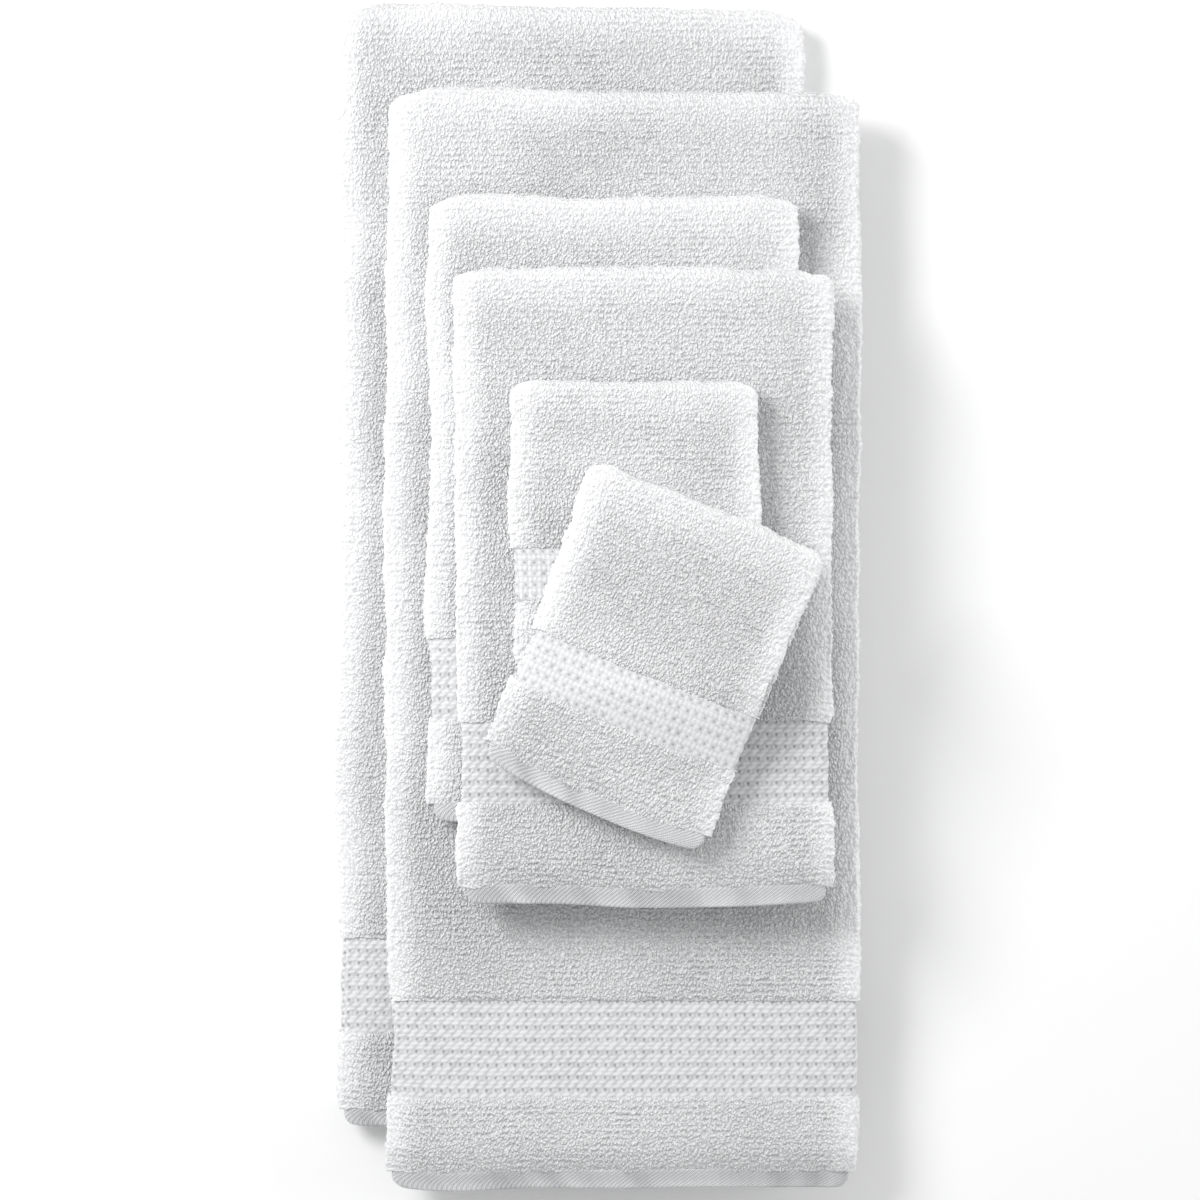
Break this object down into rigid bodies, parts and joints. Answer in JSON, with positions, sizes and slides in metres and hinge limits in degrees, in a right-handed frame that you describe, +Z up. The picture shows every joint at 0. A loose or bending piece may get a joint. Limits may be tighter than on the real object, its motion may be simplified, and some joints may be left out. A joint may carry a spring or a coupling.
{
  "type": "bath towel set",
  "caption": "Folded terry bath towels, hand towels and washcloths in one offset stack, with flat woven bands, turned hems and a top washcloth that folds open.",
  "frame": {"origin": "under the middle of the stack's bounding box, on the surface that it rests on", "axes": "+Z up, +Y along the towels towards their folded far ends, +X to the right seen from above"},
  "size_m": [0.32, 0.72, 0.1257],
  "materials": {
    "terry_pile": "long looped white cotton terry, matt and soft",
    "dobby_weave": "flat white cotton dobby weave of small staggered nubs, matt",
    "turned_hem": "turned and stitched white cotton twill tape weave, matt"
  },
  "bodies": {
    "lower_bath_towel": {"lower_bath_towel_pile": "terry_pile", "lower_bath_towel_front_dobby_band": "dobby_weave", "lower_bath_towel_front_end_terry": "terry_pile", "lower_bath_towel_front_hem": "turned_hem", "lower_bath_towel_back_dobby_band": "dobby_weave", "lower_bath_towel_back_end_terry": "terry_pile", "lower_bath_towel_back_hem": "turned_hem"},
    "upper_bath_towel": {"upper_bath_towel_pile": "terry_pile", "upper_bath_towel_front_dobby_band": "dobby_weave", "upper_bath_towel_front_end_terry": "terry_pile", "upper_bath_towel_front_hem": "turned_hem", "upper_bath_towel_back_dobby_band": "dobby_weave", "upper_bath_towel_back_end_terry": "terry_pile", "upper_bath_towel_back_hem": "turned_hem"},
    "lower_hand_towel": {"lower_hand_towel_pile": "terry_pile", "lower_hand_towel_front_dobby_band": "dobby_weave", "lower_hand_towel_front_end_terry": "terry_pile", "lower_hand_towel_front_hem": "turned_hem", "lower_hand_towel_back_dobby_band": "dobby_weave", "lower_hand_towel_back_end_terry": "terry_pile", "lower_hand_towel_back_hem": "turned_hem"},
    "upper_hand_towel": {"upper_hand_towel_pile": "terry_pile", "upper_hand_towel_front_dobby_band": "dobby_weave", "upper_hand_towel_front_end_terry": "terry_pile", "upper_hand_towel_front_hem": "turned_hem", "upper_hand_towel_back_dobby_band": "dobby_weave", "upper_hand_towel_back_end_terry": "terry_pile", "upper_hand_towel_back_hem": "turned_hem"},
    "lower_washcloth": {"lower_washcloth_pile": "terry_pile", "lower_washcloth_front_dobby_band": "dobby_weave", "lower_washcloth_front_end_terry": "terry_pile", "lower_washcloth_front_hem": "turned_hem", "lower_washcloth_back_dobby_band": "dobby_weave", "lower_washcloth_back_end_terry": "terry_pile", "lower_washcloth_back_hem": "turned_hem"},
    "upper_washcloth": {"upper_washcloth_back_pile": "terry_pile", "upper_washcloth_back_dobby_band": "dobby_weave", "upper_washcloth_back_end_terry": "terry_pile", "upper_washcloth_back_hem": "turned_hem"},
    "upper_washcloth_front_leaf": {"upper_washcloth_front_pile": "terry_pile", "upper_washcloth_front_dobby_band": "dobby_weave", "upper_washcloth_front_end_terry": "terry_pile", "upper_washcloth_front_hem": "turned_hem"}
  },
  "joints": [
    {"name": "upper_bath_towel_lift", "type": "slide", "parent": "lower_bath_towel", "child": "upper_bath_towel", "axis": [0, 0, 1], "range_m": [0, 0.15]},
    {"name": "lower_hand_towel_lift", "type": "slide", "parent": "upper_bath_towel", "child": "lower_hand_towel", "axis": [0, 0, 1], "range_m": [0, 0.15]},
    {"name": "upper_hand_towel_lift", "type": "slide", "parent": "lower_hand_towel", "child": "upper_hand_towel", "axis": [0, 0, 1], "range_m": [0, 0.15]},
    {"name": "lower_washcloth_lift", "type": "slide", "parent": "upper_hand_towel", "child": "lower_washcloth", "axis": [0, 0, 1], "range_m": [0, 0.15]},
    {"name": "upper_washcloth_lift", "type": "slide", "parent": "lower_washcloth", "child": "upper_washcloth", "axis": [0, 0, 1], "range_m": [0, 0.15]},
    {"name": "upper_washcloth_unfold", "type": "hinge", "parent": "upper_washcloth", "child": "upper_washcloth_front_leaf", "pos_m": [0.06754, 0.05383, 0.11695], "axis": [-0.9272, 0.3746, 0], "range_deg": [0, 180]}
  ]
}
